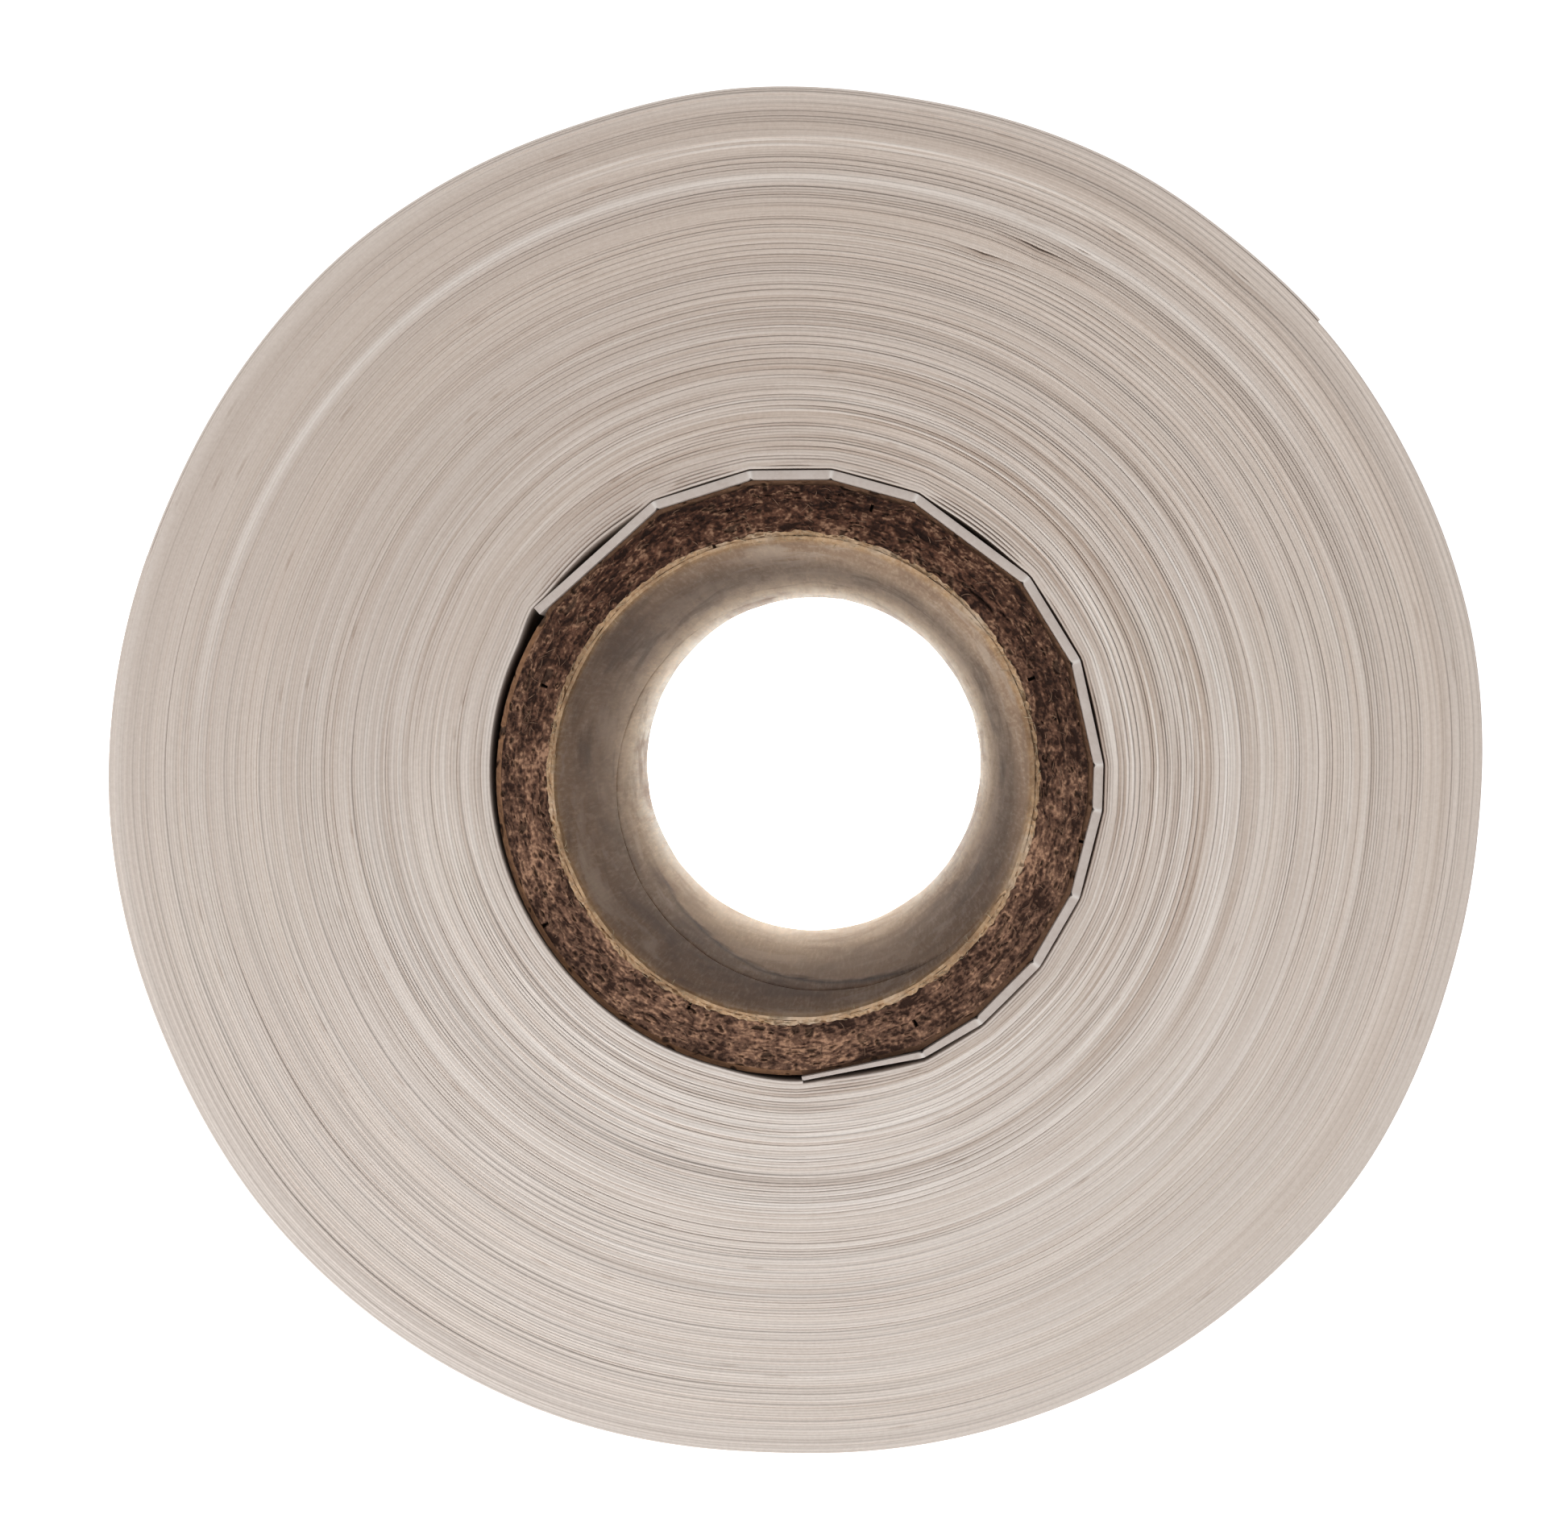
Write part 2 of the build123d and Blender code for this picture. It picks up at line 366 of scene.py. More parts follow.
def web_tones(rng, count, radius, degrees):
    """Brightness and warmth of the web's edge along its length, each about 0 to 1, and how strongly they vary there.

    Streaks of 6 to 60 degrees differ from turn to turn, and bands run over several turns, both calmer outwards. One
    side of the roll is brighter, as painted light, and another warmer. A broad painted highlight arc and two thin ones
    lie in the outer third. A pinch has painted shade on its inner side and painted light on its outer one, short
    nicks are dark, and the rim is even.
    """
    streak = along_web(rng, count, ((3, 0.35), (9, 0.7), (28, 0.8)))
    band = across_turns(along_web(rng, count, ((60, 1.0), (18, 0.6))), 1.3)
    wide = across_turns(along_web(rng, count, ((110, 1.0),)), 5.0)
    wrapped = degrees % 360
    side = 0.76 + 0.24 * np.cos(np.radians(degrees + 12))
    calm = side * np.interp(radius, (26, 31, 37, 43, 50, 55, 58), (1.0, 0.95, 0.74, 0.5, 0.32, 0.2, 0.18))
    # The cosine term in tone makes one side of the roll brighter: painted light.
    tone = 0.54 + calm * (0.15 * streak + 0.06 * band) + 0.025 * wide + 0.13 * np.cos(np.radians(degrees - 295))
    warmth = 0.5 - calm * (0.12 * band + 0.07 * streak) + 0.06 * wide + 0.2 * np.cos(np.radians(degrees - 62))
    # Painted highlight: a broad bright arc and two thin ones, lighter and cooler.
    soft = rounded((wrapped - 22) / 25) * rounded((188 - wrapped) / 40)
    arc = 0.34 * np.exp(-(((radius - 50.3) / 0.42) ** 2)) * soft
    short = rounded((wrapped - 22) / 20) * rounded((124 - wrapped) / 20)
    arc += 0.42 * (np.exp(-(((radius - 53.02) / 0.13) ** 2)) + np.exp(-(((radius - 53.5) / 0.13) ** 2))) * short
    turn = np.arange(count) / STEPS
    # Painted shade on each pinch's inner side and painted light on its outer side.
    for near, at_turn, *_ in pinch_places(degrees):
        below = np.where(turn < at_turn, np.exp(-(at_turn - turn) / 1.6), 0)
        above = np.where(turn >= at_turn, np.exp(-(turn - at_turn) / 1.6), 0)
        tone = tone - near ** 0.7 * (0.42 * below - 0.24 * above)
    nicks = rng.integers(0, count - 3, 90)
    tone[nicks] -= 0.3
    tone[nicks + 1] -= 0.2
    edge = rounded((radius - 55.9) / 1.2)
    tone = tone * (1 - 0.6 * edge) + 0.46 * edge
    return tone + arc - 0.05 * rounded((radius - 52.5) / 3), warmth - 0.5 * arc, calm


def edge_height(rng, count, sizes):
    """How far each step of the web's edge stands above the roll's end: its own stagger and the wander of bands."""
    crest = sizes.stagger / MM * along_web(rng, count, ((12, 0.7), (40, 0.6)))
    crest = crest + sizes.wander / MM * across_turns(along_web(rng, count, ((90, 1.0), (30, 0.5))), 2.5)
    return np.clip(crest, -0.22, 0.22)


def winding_grid(sizes):
    """The wound web's end as a spiral grid: a groove, an inner shoulder, a crest and an outer shoulder for each step.

    Line number times STEPS plus step is the point, and step STEPS of a line is step 0 of the line four lines on. The
    groove is half way between two turns, its depth the set one, less in the outer turns, more where the turns are
    loose or apart. Returns radius, angle, height above the end, painted shade between the turns, tone and warmth for
    every point, and which quads exist.
    """
    rng = np.random.default_rng(sizes.seed)
    count = WEB_STEPS
    degrees, turn = web_sizes(count)
    inner = web_radius(degrees, turn, sizes.sag)
    outer = inner + WEB_THICK
    before = np.concatenate([inner[:STEPS] - 0.04, outer[:-STEPS]])
    gap = np.clip(inner - before, 0.01, None)
    crest = edge_height(rng, count, sizes)
    tone, warmth, calm = web_tones(rng, count, inner, degrees)
    loose = along_web(rng, count, ((4, 0.4), (14, 0.8), (30, 0.6)))
    tight = 0.6 - 0.35 * rounded((inner - 52) / 5) + calm * np.clip(loose + 0.4, 0, None)
    depth = sizes.groove / MM * tight + 8 * np.clip(gap - 0.09, 0, 0.25)
    groove = crest - np.clip(depth, 0, 3.2)
    outermost = np.arange(count) > LAST
    groove_radius = np.where(outermost, before, (inner + before) / 2)
    groove = np.where(outermost, np.roll(crest, STEPS) - 0.04, groove)
    groove[:STEPS] = crest[:STEPS] - 0.05
    groove_radius[:STEPS] = inner[:STEPS] - 0.01
    radii = np.stack([groove_radius, inner + 0.015, inner + WEB_THICK / 2, outer - 0.015])
    heights = np.stack([groove, crest - 0.015, crest, crest - 0.015])
    outward = rounded((inner - 48) / 8)
    # Painted shade between the turns: a little everywhere, less outwards, more where turns are loose or far apart.
    shade = 0.22 * (1 - 0.6 * outward) + 0.36 * calm * np.clip(loose, -0.4, 1.8) + 1.2 * np.clip(gap - 0.09, 0, 1)
    shade = np.clip(shade, 0, 1)
    # The groove line carries that painted shade, and the shoulders get a little painted shade too.
    gap_shades = np.stack([np.where(outermost, 0.05, shade)] + [np.full(count, value) for value in (0.18, 0.0, 0.12)])
    line = np.arange(LINES * count // STEPS)[:, None]
    present = (line // LINES) * STEPS + np.arange(STEPS)[None, :] < LAST

    def lines(values):
        """The values in the grid's order, a turn's lines one after another."""
        stack = np.broadcast_to(values, (LINES, count))
        return stack.reshape(LINES, -1, STEPS).transpose(1, 0, 2).reshape(-1, STEPS)

    return [lines(values) for values in (radii, degrees, heights, gap_shades, tone, warmth)], present


def wall_ripple(degrees, height):
    """Outward ripple of the outermost turn in mm, zero at both ends: slow waves round the roll and along it."""
    angle = np.radians(degrees)
    share = np.clip(height / WEB_TOP, 0, 1)
    fade = np.sqrt(np.clip(4 * share * (1 - share), 0, 1))
    waves = 0.5 * np.sin(7 * angle + 3.1 * share) + 0.3 * np.sin(17 * angle - 5.0 * share + 1)
    waves = waves + 0.35 * np.sin(9.0 * share + 2 * np.sin(3 * angle)) * np.cos(11 * angle)
    return 0.07 * waves * fade


def build_winding(sizes, colours):
    """The wound web in five closed rings of turns, each with both ends and its walls.

    The far end repeats the near one, four fifths as uneven. A wall drops from each edge of the near end that only one
    quad uses, and the roll's outer wall ripples.
    """
    material = web_material(colours)
    grid, present = winding_grid(sizes)
    edges = [LINES * turn for turn in BAND_TURNS] + [LINES * (WEB_STEPS // STEPS) - 5]
    for band in range(len(BAND_TURNS)):
        rows = WALL_ROWS if band in (0, len(BAND_TURNS) - 1) else 1
        line = np.arange(edges[band], edges[band + 1])[:, None]
        step = np.arange(STEPS)[None, :]
        ahead = np.where(step == STEPS - 1, LINES, 0)
        beside = (step + 1) % STEPS
        quads = np.stack(np.broadcast_arrays(
            line * STEPS + step, (line + ahead) * STEPS + beside,
            (line + 1 + ahead) * STEPS + beside, (line + 1) * STEPS + step), axis=-1)
        quads = quads[present[line[:, 0]]].reshape(-1, 4)
        used, faces = np.unique(quads, return_inverse=True)
        faces = faces.reshape(-1, 4)
        # Here gap is the painted shade between turns, not a width.
        radius, degrees, height, gap, tone, warmth = (part.ravel()[used] for part in grid)
        total = len(used)
        top = polar(radius, degrees, WEB_TOP + height)
        bottom = polar(radius, degrees, -0.8 * height)
        starts = faces.ravel()
        ends = np.roll(faces, -1, axis=1).ravel()
        key = starts.astype(np.int64) * total + ends
        back = ends.astype(np.int64) * total + starts
        open_edge = ~np.isin(key, back)
        starts, ends = starts[open_edge], ends[open_edge]
        rim = np.unique(np.concatenate([starts, ends]))
        order = np.full(total, -1)
        order[rim] = np.arange(len(rim))
        share = (np.arange(1, rows) / rows)[:, None, None]
        middle = top[rim][None] * (1 - share) + bottom[rim][None] * share
        outside = np.hypot(middle[..., 0], middle[..., 1])
        push = wall_ripple(degrees[rim][None], middle[..., 2]) * (outside > WALL_RADIUS)
        middle = middle * np.stack([1 + push / outside, 1 + push / outside, np.ones_like(push)], axis=-1)
        points = np.concatenate([top, bottom, middle.reshape(-1, 3)])
        below = [2 * total + row * len(rim) + order for row in range(rows - 1)]
        levels = [starts] + [row[starts] for row in below] + [starts + total]
        others = [ends] + [row[ends] for row in below] + [ends + total]
        walls = [
            np.stack([levels[row + 1], others[row + 1], others[row], levels[row]], axis=-1) for row in range(rows)
        ]
        under = faces[:, ::-1] + total
        # Walls inside the roll get full painted shade; the outer wall gets none.
        inner_wall_shade = np.where(outside > WALL_RADIUS, 0.0, 1.0).ravel()
        piece = solid(
            f"wound_turns_{band + 1}", points, np.concatenate([faces, under] + walls), material, 75,
            gap=np.concatenate([gap, gap, inner_wall_shade]),
            tone=np.concatenate([tone, tone, np.full(len(inner_wall_shade), WALL_TONE)]),
            warmth=np.concatenate([warmth, warmth, np.full(len(inner_wall_shade), WALL_WARMTH)]))
        place(piece, "roll", "sleeve_film", "wound_web")


def build_tail(sizes, colours):
    """The free end of the web: a thin strip that carries on the spiral, in lengths cut ten degrees past each hinge.

    The profile, out along one side, over the rounded top edge, back down the other and under, is carried along the
    spiral. It lifts slightly towards the tip.
    """
    material = web_material(colours)
    crest = edge_height(np.random.default_rng(sizes.seed), WEB_STEPS, sizes)
    rows = WALL_ROWS
    heights = np.linspace(0.05, WEB_TOP - 0.05, rows)
    side = np.concatenate([np.full(rows, 1.0), [0.94, 0.06], np.full(rows, 0.0), [0.06, 0.94]])
    level = np.concatenate([heights, [WEB_TOP, WEB_TOP], heights[::-1], [0.0, 0.0]])
    cuts = [HINGES[0]] + [angle - 10.0 for angle in HINGES] + [TIP]
    for number, (start, end) in enumerate(zip(cuts[:-1], cuts[1:]), start=1):
        degrees = np.linspace(start, end, int(round((start - end) * 2)) + 1)
        step = LAST + HINGES[0] - degrees
        lift = 0.04 * rounded((56 - degrees) / 15) - 0.015 - 0.015 * rounded((158 - degrees) / 6)
        inner = web_radius(degrees, np.minimum(step / STEPS, LAST / STEPS + 1), sizes.sag) + lift
        radius = inner[None] + WEB_THICK * side[:, None] + wall_ripple(degrees[None], level[:, None])
        rise = np.interp(step, np.arange(WEB_STEPS), crest)
        height = level[:, None] + rounded((level - WEB_TOP + 5) / 4.9)[:, None] * rise[None]
        points = polar(radius, degrees[None], height)
        piece = solid(
            f"free_web_{number}", points, swept_faces(len(side), len(degrees)), material, 50,
            gap=np.zeros(len(points)), tone=np.full(len(points), WALL_TONE), warmth=np.full(len(points), WALL_WARMTH))
        if number < len(cuts) - 1:
            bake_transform(piece)
            place(piece, None, "sleeve_film", f"tail_section_{number}")
        else:
            place(piece, "tail_6", "sleeve_film", "tail_section_6")


# ---------------------------------------------------------------- core

def seam_angle(ply, height):
    """Angle of a ply's butt seam at a height: it climbs one turn in each pitch, and each ply's seam is staggered."""
    return SEAM_START + SEAM_STAGGER * ply + 360 * height / SEAM_PITCH


def dent(degrees):
    """How far the flats of the strip press the core's outside in, in mm; below zero where it swells to a crease."""
    wrapped = wrap(degrees)
    inside = flat_radius(wrapped, STRIP_MIDDLE) - STRIP_THICK / 2 - 0.04
    under = rounded((CREASES[-1] - wrapped) / 3) * rounded((wrapped - CREASES[0]) / 20)
    gap = CORE_RADIUS - inside
    return np.where(wrapped < CREASES[-1], np.where(gap > 0, gap, gap * under), 0)


def pressed(radius, degrees):
    """Radius after the dent, which fades to nothing at the bore: the square of the share of the wall."""
    share = np.clip((radius - BOARD_RADII[0]) / (CORE_RADIUS - BOARD_RADII[0]), 0, 1)
    return radius - dent(degrees) * share ** 2


def notch(degrees, radius, seam, depth):
    """Depth of the seam's slot at an angle: full across the gap, none a little outside it."""
    away = np.abs(from_angle(degrees, seam)) * math.pi / 180 * radius
    return depth * rounded((0.14 - away) / 0.1)


def ragged(degrees):
    """Wander of the line between liner and board, in mm: value noise of two lengths."""
    rng = np.random.default_rng(23)
    row = np.full(np.shape(degrees), 0.5)
    arc = np.asarray(degrees) / 360
    return 0.13 * lattice(rng, row, arc * 70, 2, 70) + 0.13 * lattice(rng, row, arc * 330, 2, 330)


def card_fibre(rng, radius, degrees):
    """Felted fibre on the card's cut end: long low streaks along the ring, bent by a coarser noise, and short grain.

    Returns the fibre's tone and the pits, each about 0 to 1. The splits count as pits.
    """
    arc = degrees / 360 * np.ones_like(radius)
    depth = radius - 19.5
    bend = lattice(rng, depth / 0.9, arc * 110, 9, 110)
    lean = lattice(rng, depth / 1.3 + 0.5, arc * 61, 9, 61)
    long = lattice(rng, (depth + 0.3 * bend) / 0.15, (arc + 0.003 * lean) * 170, 48, 170)
    short = lattice(rng, (depth + 0.12 * lean) / 0.11, (arc + 0.002 * bend) * 620, 64, 620)
    blot = lattice(rng, (depth + 0.25 * bend) / 0.62, arc * 230, 14, 230)
    broad = lattice(rng, depth / 1.6, arc * 40, 8, 40)
    tone = 0.5 + 0.3 * long + 0.24 * short + 0.26 * blot + 0.2 * broad
    pits = rounded((0.55 * blot + 0.45 * long + 0.25 * bend - 0.34) / 0.3)
    for middle, distance, half, width in SPLITS:
        away = from_angle(degrees, middle)
        line = (radius - distance + 0.12 * bend + 0.05 * away / half) / width
        pits = np.maximum(pits, np.exp(-(line ** 2) - (away / half) ** 4))
    return np.clip(tone, 0, 1), pits


def build_ply(name, node, ply, inner, outer, slot, material, sizes, sink=np.zeros_like):
    """One ply as a ring of closed profiles, its cut ends roughened.

    The end's height is the core's, less the felted fibre's tone and pits, less the seam's slot, less a sink that
    depends on the angle. The far end is six tenths as rough.
    """
    rng = np.random.default_rng(sizes.seed + 31)
    degrees = (np.arange(PLY_COLUMNS) * 360 / PLY_COLUMNS)[None]
    radii, heights, pits, tones = [], [], [], []
    for shares, near_end in ((PLY_SHARES, True), (PLY_SHARES[[0, 2, 5, 7]], False)):
        radius = (inner + (outer - inner) * shares)[:, None] * np.ones(PLY_COLUMNS)
        tone, pit = card_fibre(rng, radius, degrees)
        drop = sizes.roughness / MM * (1.1 * (1 - tone) + 1.5 * pit)
        drop = drop + notch(degrees, inner, seam_angle(ply, CORE_TOP if near_end else 0), 0.9) + sink(degrees)
        # The sunk wrap under the strip is marked dark: painted shadow of the strip over it.
        pit = np.maximum(pit, 3.2 * sink(degrees))
        frayed = ragged(degrees) * np.exp(-(((radius - BOARD_RADII[0]) / 0.4) ** 2))
        radii.append(pressed(radius, degrees) + frayed)
        heights.append(CORE_TOP - drop if near_end else 0.6 * drop)
        # The seam's slot is marked dark too: painted shade in the slot.
        pits.append(np.clip(pit + 0.8 * notch(degrees, inner, seam_angle(ply, CORE_TOP), 1.0), 0, 1))
        tones.append(tone)

    def loop(top, bottom):
        """Rows of the near end going out, then rows of the far end coming back."""
        return np.concatenate([top, bottom[::-1]])

    points = polar(loop(*radii), degrees, loop(*heights))
    faces = grid_faces(len(loop(*radii)), PLY_COLUMNS, ring_rows=True, ring_columns=True)[:, ::-1]
    piece = solid(name, points, faces, material, 60, pit=loop(*pits).ravel(), fibre=loop(*tones).ravel())
    place(piece, "roll", slot, node)


def build_board(sizes, colours):
    """Six board plies, each a little different in tone."""
    for ply, (inner, outer) in enumerate(zip(BOARD_RADII[:-1], BOARD_RADII[1:])):
        build_ply(f"board_ply_{ply + 1}", f"core_board_ply_{ply + 1}", ply + 2, inner + 0.008, outer,
                  "core_board", board_material(colours, ply), sizes)


def hidden_sink(degrees):
    """How far the outer wrap sinks, in mm: a fifth where the strip covers its end, and none where it is bare."""
    wrapped = wrap(degrees)
    return 0.2 * rounded((149.5 - wrapped) / 4) + 0.2 * rounded((wrapped - 268) / 6)


def build_wrap(sizes, colours):
    """The kraft ply outside the board, pressed in under the strip's flats."""
    build_ply("kraft_wrap", "core_outer_ply", 8, BOARD_RADII[6] + 0.01, CORE_RADIUS, "outer_kraft",
              kraft_material(colours), sizes, sink=hidden_sink)


def build_liner(sizes, colours):
    """Two kraft plies that line the bore.

    The inner ply is a sheet bent round the bore whose two edges run up the helix with a gap between them: column
    runs from one edge to the other and row from end to end. It waves a little, its edges lift into the wall, and its
    near rim is frayed. The ply behind it shows through the gap.
    """
    material = liner_material(colours)
    rows, columns = 90, 420
    rng = np.random.default_rng(sizes.seed + 5)
    level = np.linspace(0, 1, rows)
    level = (0.5 - 0.5 * np.cos(math.pi * level)) * 0.8 + level * 0.2
    around = np.linspace(0, 1, columns)
    gap = math.degrees(SEAM_GAP / LINER_RADII[0])
    layers = []
    for side, radius in ((0, LINER_RADII[0]), (1, LINER_RADII[1] - 0.01)):
        torn = 0.12 * lattice(rng, np.full(columns, 0.5), around * 300, 2, 300)
        torn = torn + 0.1 * lattice(rng, np.full(columns, 0.5), around * 90, 2, 90)
        height = level[:, None] * CORE_TOP + torn[None] * (np.abs(level - 0.5)[:, None] * 2) ** 30
        degrees = seam_angle(0, height) + gap / 2 + around[None] * (360 - gap)
        wave = 0.05 * lattice(rng, level[:, None] * 24 + 0 * degrees, degrees / 360 * 60, 26, 60)
        lip = 0.07 * (1 - rounded(np.minimum(around, 1 - around) / 0.006))[None]
        frayed = 0.16 * np.exp(-(((CORE_TOP - height) / 0.35) ** 2))
        outward = (wave + lip + frayed) if side == 0 else 0.4 * wave
        layers.append(polar(radius + outward - (0.05 if side == 0 else 0), degrees, height))
    points = np.concatenate(layers)
    total = rows * columns
    quads = grid_faces(rows, columns)[:, [0, 3, 2, 1]]
    faces = [quads, quads[:, ::-1] + total]
    hems = ((0, 1, columns, 1), (total - columns, 1, columns, -1), (0, columns, rows, -1),
            (columns - 1, columns, rows, 1))
    for start, step, count, order in hems:
        line = start + step * np.arange(count - 1)
        faces.append(np.stack([line, line + step, line + step + total, line + total], axis=-1)[:, ::order])
    piece = solid("bore_liner_1", points, np.concatenate(faces), material, 50, pit=np.full(len(points), 0.2))
    place(piece, "roll", "liner_paper", "core_liner_ply_1")
    build_ply("bore_liner_2", "core_liner_ply_2", 1, LINER_RADII[1] + 0.01, LINER_RADII[2], "liner_paper",
              material, sizes)


def build_fibres(sizes):
    """Loose fibres: thin three sided blades that follow short curls over the cut end of the card.

    Each blade is a point that starts at a random place on the ring and wanders by a turning heading, and tapers at
    both ends. The first nine make a tuft at 168 degrees.
    """
    segments, tuft = 6, 9
    specs = (
        ("board_fibres", sizes.fibres, 20.8, 24.5, 0.0, "core_board", "Board Fibres", (150, 118, 96), 0.8),
        ("liner_fibres", int(sizes.fibres * 0.8), 20.02, 20.8, 0.35, "liner_paper", "Liner Fibres",
         (206, 184, 152), 0.7),
    )
    for number, (name, count, low, high, reach, slot, finish, colour, length) in enumerate(specs):
        rng = np.random.default_rng(sizes.seed + 77 + number)
        radius = rng.uniform(low, high, count)
        degrees = rng.uniform(0, 360, count)
        radius[:tuft] = (low + high) / 2 + rng.normal(0, 0.13, tuft)
        degrees[:tuft] = 168 + rng.normal(0, 0.5, tuft)
        heading = np.radians(degrees) + rng.choice([-1, 1], count) * math.pi / 2 + rng.normal(0, 0.6, count)
        bend = rng.normal(0, 0.7, count)
        size = length * rng.uniform(0.4, 1.3, count)
        share = np.linspace(0, 1, segments + 1)
        turning = heading[:, None] + bend[:, None] * share[None]
        step = size[:, None] / segments
        x = (radius * np.cos(np.radians(degrees)))[:, None] + np.cumsum(np.cos(turning) * step, axis=1)
        y = (radius * np.sin(np.radians(degrees)))[:, None] + np.cumsum(np.sin(turning) * step, axis=1)
        rise = rng.uniform(-0.02, 0.16, count)[:, None] * np.sin(math.pi * share)[None]
        z = CORE_TOP - 0.06 + rise + rng.uniform(-0.08, 0.03, count)[:, None]
        away = np.hypot(x, y)
        kept = np.clip(away, low - reach, high)
        x, y = x * kept / away, y * kept / away
        taper = np.sqrt(np.clip(np.sin(math.pi * (0.04 + 0.92 * share)), 0, 1))[None]
        thick = 0.5 * rng.uniform(0.03, 0.075, count)[:, None] * taper
        points = np.stack([
            np.stack([x - side * thick * np.sin(turning), y + side * thick * np.cos(turning), z + up * thick], axis=-1)
            for side, up in ((1.0, -0.5), (-1.0, -0.5), (0.0, 1.0))
        ], axis=2)
        each = 3 * (segments + 1)
        start = np.arange(count)[:, None, None] * each
        faces = (grid_faces(segments + 1, 3, ring_columns=True)[:, ::-1][None] + start).reshape(-1, 4)
        ends = (np.array([[0, 1, 2], [each - 1, each - 2, each - 3]])[None] + start).reshape(-1, 3)
        piece = solid(name, points.reshape(-1, 3), faces, fibre_material(finish, colour), 80, ends)
        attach(piece, "roll")


def build_strip(sizes, colours):
    """The stiff strip under the first turns: a rounded profile carried along straight flats and tight creases.

    The path joins the creases by straight lines, blurred over a few steps so that each crease is a tight bend. The
    strip thins towards its tucked end, swells a little inside each crease, and its top edge waves.
    """
    degrees = CREASES[::-1]
    corner_radius = STRIP_MIDDLE - 0.42 * rounded((-60 - degrees) / 28)
    corners = corner_radius[:, None] * np.stack([np.cos(np.radians(degrees)), np.sin(np.radians(degrees))], axis=-1)
    lengths = np.concatenate([[0], np.cumsum(np.hypot(*np.diff(corners, axis=0).T))])
    run = np.arange(0, lengths[-1], 0.13)
    path = np.stack([np.interp(run, lengths, corners[:, axis]) for axis in range(2)], axis=-1)
    kernel = np.exp(-0.5 * (np.arange(-6, 7) / 1.8) ** 2)
    kernel /= kernel.sum()
    padded = np.concatenate([np.repeat(path[:1], 6, axis=0), path, np.repeat(path[-1:], 6, axis=0)])
    middle = np.stack([np.convolve(padded[:, axis], kernel, mode="valid") for axis in range(2)], axis=-1)
    middle[:3], middle[-3:] = path[:3], path[-3:]
    tangent = np.gradient(middle, axis=0)
    tangent /= np.hypot(tangent[:, 0], tangent[:, 1])[:, None]
    outward = np.stack([-tangent[:, 1], tangent[:, 0]], axis=-1)
    outward *= np.sign((outward * middle).sum(axis=1))[:, None]
    crease = np.zeros(len(run))
    for place_on in lengths[1:-1]:
        crease = np.maximum(crease, np.exp(-(((run - place_on) / 0.16) ** 2)))
    angle = wrap(np.degrees(np.arctan2(middle[:, 1], middle[:, 0])))
    thick = STRIP_THIN + (STRIP_THICK - STRIP_THIN) * rounded((angle + 84) / 40)
    rng = np.random.default_rng(sizes.seed + 3)
    wave = 0.03 * lattice(rng, np.full(len(run), 0.5), run / 3.0, 2, 64)
    rows = 5
    heights = np.linspace(0.04, WEB_TOP - 0.04, rows)
    top = [0.485, 0.44, 0.15, -0.15, -0.44, -0.485]
    side = np.concatenate([np.full(rows, 0.5), top, np.full(rows, -0.5), [-0.44, 0.44]])
    level = np.concatenate([heights, WEB_TOP + np.array([-0.01, 0, 0, 0, 0, -0.01]), heights[::-1], [0.0, 0.0]])
    offset = side[:, None] * thick[None]
    offset = offset + np.where(side < 0, 1, 0)[:, None] * 0.14 * crease[None]
    height = level[:, None] + np.where(level > WEB_TOP - 0.06, 1, 0)[:, None] * (wave + 0.05 * crease - 0.02)[None]
    x = middle[None, :, 0] + outward[None, :, 0] * offset
    y = middle[None, :, 1] + outward[None, :, 1] * offset
    points = np.stack([x, y, height], axis=-1).reshape(-1, 3)
    piece = solid(
        "creased_strip", points, swept_faces(len(side), len(run)), strip_material(colours), 50,
        crease=np.broadcast_to(crease, (len(side), len(run))).ravel())
    place(piece, "roll", "starter_strip", "starter_strip")


# ---------------------------------------------------------------- finishes

def add(tree, kind, inputs=None, **settings):
    """One node, with its settings, and its inputs by name or number: a value, or another node's output to link."""
    node = tree.nodes.new("ShaderNode" + kind)
    for key, value in settings.items():
        setattr(node, key, value)
    for key, value in (inputs or {}).items():
        if isinstance(value, bpy.types.NodeSocket):
            tree.links.new(value, node.inputs[key])
        else:
            node.inputs[key].default_value = value
    return node


def sums(tree, operation, first, second=0.0):
    """A Math node's output."""
    return add(tree, "Math", {0: first, 1: second}, operation=operation).outputs[0]


def times(tree, first, second):
    """One number times another."""
    return sums(tree, "MULTIPLY", first, second)


def blend_colour(tree, factor, first, second, kind="MIX"):
    """A colour Mix node's output."""
    def full(colour):
        """A colour with its alpha, or the output that gives it."""
        return colour if isinstance(colour, bpy.types.NodeSocket) else (*tuple(colour)[:3], 1)

    node = add(tree, "Mix", {0: factor, 6: full(first), 7: full(second)}, data_type="RGBA", blend_type=kind)
    return node.outputs[2]


def tinted(tree, colour, tint):
    """One colour times another."""
    return blend_colour(tree, 1.0, colour, tint, "MULTIPLY")


def grey(value):
    """A colour with all its channels equal."""
    return (value,) * 3


def spread(tree, value, low, high, out_low=0.0, out_high=1.0):
    """A Map Range node's output, clamped."""
    return add(tree, "MapRange", {0: value, 1: low, 2: high, 3: out_low, 4: out_high}).outputs[0]


def noise(tree, vector, scale, detail, roughness=0.5, distortion=0.0):
    """A Noise Texture node."""
    return add(tree, "TexNoise", {
        "Vector": vector, "Scale": scale, "Detail": detail, "Roughness": roughness, "Distortion": distortion})


def own(tree, name):
    """A number that the piece keeps at its points."""
    return add(tree, "Attribute", attribute_name=name).outputs["Fac"]


